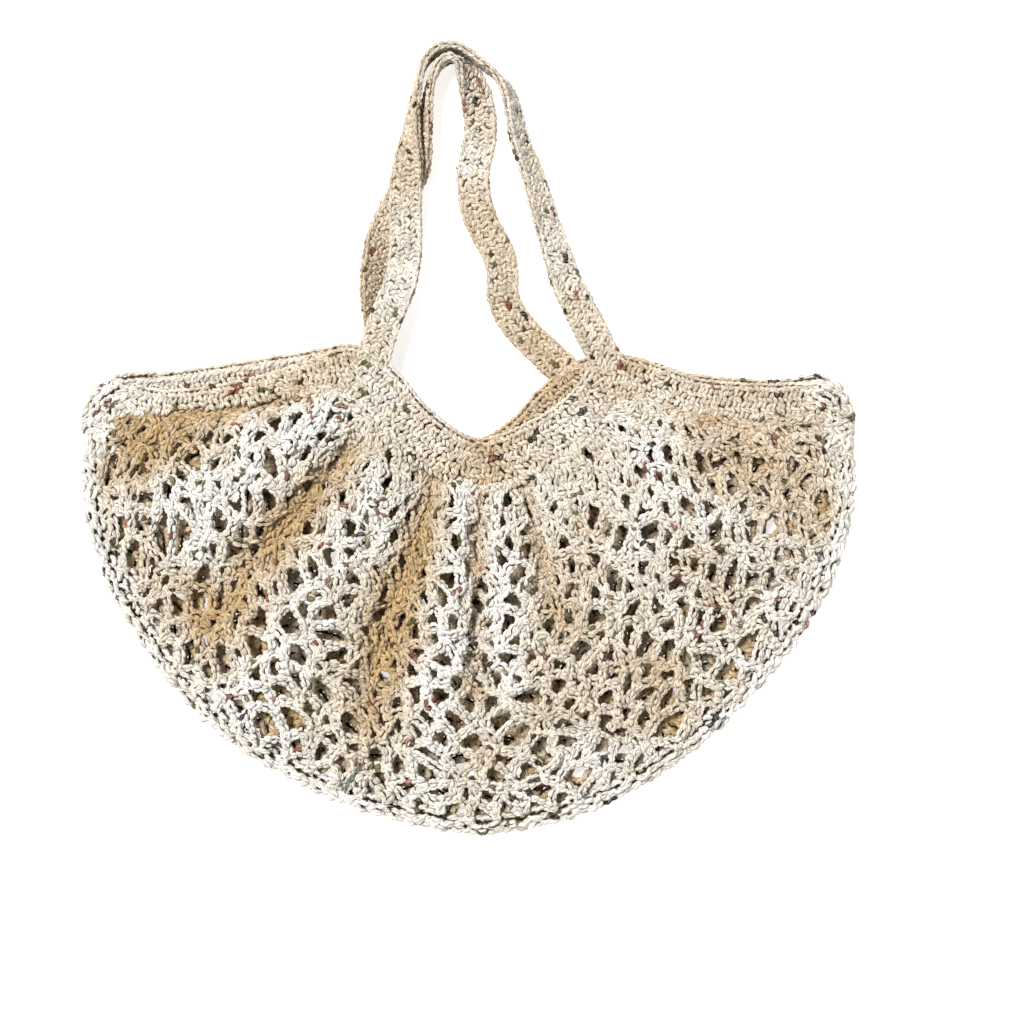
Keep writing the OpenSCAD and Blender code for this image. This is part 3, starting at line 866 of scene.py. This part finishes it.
LEFT_BEND = ("root", "front_panel", (-.226, .036, .01), (-.085, .036, .01))
RIGHT_BEND = ("root", "front_panel", (.226, .036, .01), (.098, .036, .01))
band("front_neck_crochet", front_mouth, front_height, front_band_shade, NECK_FROM, NECK_TO, body="front_panel",
     stands_for=("front_neck_band",))
band("front_rim_left_crochet", front_mouth, front_height, front_band_shade, 0, NECK_FROM, blend=LEFT_BEND,
     stands_for=("front_rim_left",))
band("front_rim_right_crochet", front_mouth, front_height, front_band_shade, NECK_TO, STATIONS, blend=RIGHT_BEND,
     stands_for=("front_rim_right",))
band("rear_neck_crochet", rear_mouth, rear_height, rear_band_shade, NECK_FROM, NECK_TO, body="root",
     stands_for=("rear_neck_band",))
band("rear_rim_left_crochet", rear_mouth, rear_height, rear_band_shade, 0, NECK_FROM, True, body="root",
     stands_for=("rear_rim_left",))
band("rear_rim_right_crochet", rear_mouth, rear_height, rear_band_shade, NECK_TO, STATIONS, True, body="root",
     stands_for=("rear_rim_right",))


def edging(name, mouth, height, painted_shades, lo, hi, **where):
    """The chain stitches along the mouth's edge."""
    yarn = Yarn()
    s = np.linspace(lo, hi, int((hi - lo) * 40) + 2)
    p = along(mouth, s)
    t = unit(np.gradient(p, axis=0))
    out = np.stack([-t[:, 1], t[:, 0]], 1)
    path = np.column_stack([p - out * 2.4 * MM, height(s)])
    # a little less painted shade than the band
    shade = np.interp(s, *np.array(painted_shades).T) + .05
    shade_tube(yarn, path[::4], .8 * MM)
    normal = np.column_stack([out * EDGE_TILT, np.full(len(s), 1.)])
    chain_row(yarn, path + [0, 0, .5 * MM], normal, shade, 4.5 * MM, 2.1 * MM, 1.3 * MM)
    # the lower row gets more painted shade
    chain_row(yarn, path - [0, 0, 1.1 * MM], normal * [1, 1, -1], shade - .2, 4.5 * MM, 2.0 * MM, 1.25 * MM)
    return piece(name, yarn, "edging_cotton", **where)


edging("front_edging_crochet", front_mouth, front_height, front_band_shade, NECK_FROM, NECK_TO, body="front_panel",
       stands_for=("front_mouth_edging",))
edging("front_edging_left", front_mouth, front_height, front_band_shade, 0, NECK_FROM, blend=LEFT_BEND)
edging("front_edging_right", front_mouth, front_height, front_band_shade, NECK_TO, STATIONS, blend=RIGHT_BEND)
edging("rear_edging_crochet", rear_mouth, rear_height, rear_band_shade, 0, STATIONS, body="root",
       stands_for=("rear_mouth_edging",))

# ---------------------------------------------------------------- base fold and corners
rim_line = np.vstack([points_of(LEFT_TURN)[:0:-1], fold_line, points_of(RIGHT_TURN)[1:]])
TURN = len(LEFT_TURN) - 1                 # stations of the rim line before the fold starts
rim_s = np.linspace(0, len(rim_line) - 1, 1100)
rim_path = along(rim_line, rim_s)
rim_t = unit(np.gradient(rim_path, axis=0))
rim_in = np.stack([-rim_t[:, 1], rim_t[:, 0]], 1)
wave = .7 * MM * np.sin(2 * np.pi * rim_s * 3.1) + .5 * MM * np.sin(2 * np.pi * rim_s * 7.3 + 1)


def rim(name, lo, hi, rows, node_name, slot):
    """Chains along the rim: each row has its reach outwards, its height, and how far it faces out and up."""
    yarn = Yarn()
    here = (rim_s >= lo) & (rim_s <= hi)
    shade = (.92 + .1 * np.sin(3 * rim_s))[here]
    for out, z, face_out, face_up in rows:
        drift = wave * (1 if z > 5 else -1) * np.clip(np.minimum(rim_s - 1, len(rim_line) - 2 - rim_s), 0, 1)
        path = np.column_stack([rim_path - rim_in * (out * MM + drift)[:, None],
                                z * MM + .5 * MM * np.sin(2 * np.pi * rim_s * 5.7 + out)])[here]
        normal = np.column_stack([-rim_in * face_out, np.full(len(rim_s), float(face_up))])[here]
        shade_tube(yarn, path[::3], .6 * MM)
        fat = 1.22 if face_up > 0 else 1.
        chain_row(yarn, path, unit(normal), shade, CHAIN_PITCH * fat, CHAIN_HALF * fat, YARN * fat, .55)
    piece(name, yarn, slot, "root", stands_for=(node_name,))


ROUND = [(1.0, 2.6, .8, -.5), (1.6, 5.2, 1, .3), (.6, 7.6, .5, .9), (-3.8, 9.2, 0, 1), (-4.0, 2.7, 0, -1)]
PATCH = ROUND + [(-8., 9.4, 0, 1), (-12.4, 9.4, 0, 1), (-8., 2.6, 0, -1)]
rim("base_fold_crochet", TURN, TURN + STATIONS, ROUND, "base_fold", "mesh_cotton")
rim("left_corner_crochet", 0, TURN + .25, PATCH, "left_corner_turn", "band_cotton")
rim("right_corner_crochet", TURN + STATIONS - .25, len(rim_line) - 1, PATCH, "right_corner_turn",
    "band_cotton")
LEFT_SLIT = [(-204, 41.5, 3), (-216, 41, 5), (-226, 39.5, 6.5), (-230.5, 36, 8.5), (-225, 31.5, 9.6),
             (-212, 31, 9.8)]
RIGHT_SLIT = [(206, 37, 3), (218, 38.5, 5), (226, 39.5, 6.5), (232, 37.5, 8.5), (228, 34, 9.6),
              (214, 33.5, 9.8)]
for name, loop in (("left_slit_loop", LEFT_SLIT), ("right_slit_loop", RIGHT_SLIT)):
    yarn = Yarn()
    path = along(np.array(loop) * MM, np.linspace(0, len(loop) - 1, 60))
    shade_tube(yarn, path[6:-6:4], .8 * MM)
    chain_row(yarn, path, np.array([0, 0, 1.]), np.full(60, 1.))
    piece(name, yarn, "edging_cotton", "root")


# ---------------------------------------------------------------- straps
STRAP_W = 21.5 * MM
STRAP_T = 4.5 * MM


def strap(name, route, painted_shades, **where):
    """A strap of single crochet: columns of leaning leaves on both faces and round both edges."""
    yarn = Yarn()
    p = points_of(route)
    n = len(route) * 16
    q = along(p, np.linspace(0, len(route) - 1, n))
    roll = np.radians(q[:, 3])
    path = q[:, :3]
    t = unit(np.gradient(path, axis=0))
    flat = unit(np.cross(t, [0, 0, 1.]))
    face = np.cross(flat, t)
    across = np.cos(roll)[:, None] * flat + np.sin(roll)[:, None] * face
    up = np.cos(roll)[:, None] * face - np.sin(roll)[:, None] * flat
    shade = np.interp(np.linspace(0, len(route) - 1, n), *np.array(painted_shades).T)
    columns = 6
    step = (STRAP_W - 2.6 * MM) / columns
    for k in range(columns):
        x = (k - (columns - 1) / 2) * step
        for side in (1, -1):
            column = path + across * x + up * side * (STRAP_T / 2 - 1.5 * MM)
            leaf_row(yarn, column, up * side, (1 if k % 2 else -1) * side, shade, .5 * (k % 2),
                     pitch=3.4 * MM, size=5.5 * MM, radius=1.65 * MM, puff=.5, angle=42, dip=.5)
    for side in (1, -1):
        edge = path + across * side * (STRAP_W / 2 - 1.6 * MM)
        # the edges get a little more painted shade
        chain_row(yarn, edge, across * side, shade - .05, 4.2 * MM, 1.7 * MM, 1.25 * MM)
    w, h = STRAP_W / 2 - 1.8 * MM, .9 * MM
    corners = [path + across * x * w + up * z * h for x, z in ((1, 1), (-1, 1), (-1, -1), (1, -1))]
    for one, two in zip(corners, corners[1:] + corners[:1]):
        shade_strip(yarn, one[::4], two[::4])
    return piece(name, yarn, "strap_cotton", **where)


# the values along each strap's route are painted shade
strap("front_strap_crochet", FRONT_STRAP,
      [(0, .6), (4, .8), (7, .7), (10, .45), (14, .5), (20, .7), (26, .65), (31, .5)],
      blend=("front_panel", "front_strap", (.012, .058, .0236), (.012, .085, .0236)),
      stands_for=("front_strap", "front_strap_seam_left", "front_strap_seam_right"))
strap("rear_strap_crochet", REAR_STRAP,
      [(0, .3), (6, .2), (10, .5), (16, .5), (20, .5), (24, .8), (26, .3), (29, .5), (35, .25)],
      blend=("root", "rear_strap", (-.014, .066, .0047), (-.014, .092, .0047)),
      stands_for=("rear_strap", "rear_strap_seam_left", "rear_strap_seam_right"))

# ---------------------------------------------------------------- loose yarn end
yarn = Yarn()
tail = along(points_of(YARN_TAIL), np.linspace(0, len(YARN_TAIL) - 1, 61))
crests = np.concatenate(crests)


def crest_height(at):
    """Top of the front mesh at a flat point, from the leaves nearest to it."""
    near = np.argsort(np.linalg.norm(crests[:, :2] - at[:2], axis=1))[:16]
    return np.percentile(crests[near, 2], 85)


heights = [crest_height(at) for at in tail]
tail[:, 2] = np.polyval(np.polyfit(tail[:, 1], heights, 2), tail[:, 1]) + .9 * MM
for turn in (0, np.pi):
    t = unit(np.gradient(tail, axis=0))
    side = unit(np.cross(t, [0, 0, 1.]))
    up = np.cross(side, t)
    a = np.linspace(0, 4 * np.pi, 61) + turn
    strand = tail + .75 * MM * (np.cos(a)[:, None] * side + np.sin(a)[:, None] * up)
    index = np.arange(0, 51, 4)
    start, middle, stop = strand[index], strand[index + 5], strand[index + 10]
    yarn.add(start, 2 * middle - .5 * (start + stop), stop, .8 * MM, .6)
nearest = min(bends, key=lambda bend: np.linalg.norm(bend[0] - tail.mean(0)[:2], axis=1).min())
piece("yarn_tail_end", yarn, "tail_yarn", blend=("root", "front_panel", *nearest[1:]),
      stands_for=("yarn_tail",))

# ---------------------------------------------------------------- stage, light and camera
view_width = .6656
camera_height = 1.3
cam = bpy.data.objects.new("camera", bpy.data.cameras.new("camera"))
bpy.context.scene.collection.objects.link(cam)
cam.data.sensor_width = 36
cam.data.lens = 36 * (camera_height - .012) / view_width
cam.location = (.0283, -.0475, camera_height)
cam.rotation_euler = (0, 0, 0)
bpy.context.scene.camera = cam

bpy.ops.mesh.primitive_plane_add(size=5, location=(0, 0, -.0018))
floor = bpy.context.object
floor.name = "floor"
floor_mat = bpy.data.materials.new("floor")
floor_mat.use_nodes = True
floor_mat.node_tree.nodes["Principled BSDF"].inputs["Base Color"].default_value = (.92, .92, .92, 1)
floor_mat.node_tree.nodes["Principled BSDF"].inputs["Roughness"].default_value = .9
floor_mat.node_tree.nodes["Principled BSDF"].inputs["Emission Color"].default_value = (1, 1, 1, 1)
floor_mat.node_tree.nodes["Principled BSDF"].inputs["Emission Strength"].default_value = .6
floor.data.materials.append(floor_mat)

sun = bpy.data.objects.new("sun", bpy.data.lights.new("sun", "SUN"))
sun.data.energy, sun.data.angle, sun.data.color = 4.3, .3, (1, .985, .96)
sun.rotation_euler = Vector((.6, -.5, -1.6)).to_track_quat("-Z", "Y").to_euler()
bpy.context.scene.collection.objects.link(sun)
world = bpy.data.worlds.new("world")
world.use_nodes = True
world.node_tree.nodes["Background"].inputs["Color"].default_value = (1, 1, 1, 1)
world.node_tree.nodes["Background"].inputs["Strength"].default_value = .42
bpy.context.scene.world = world
bpy.context.scene.view_settings.view_transform = "Standard"
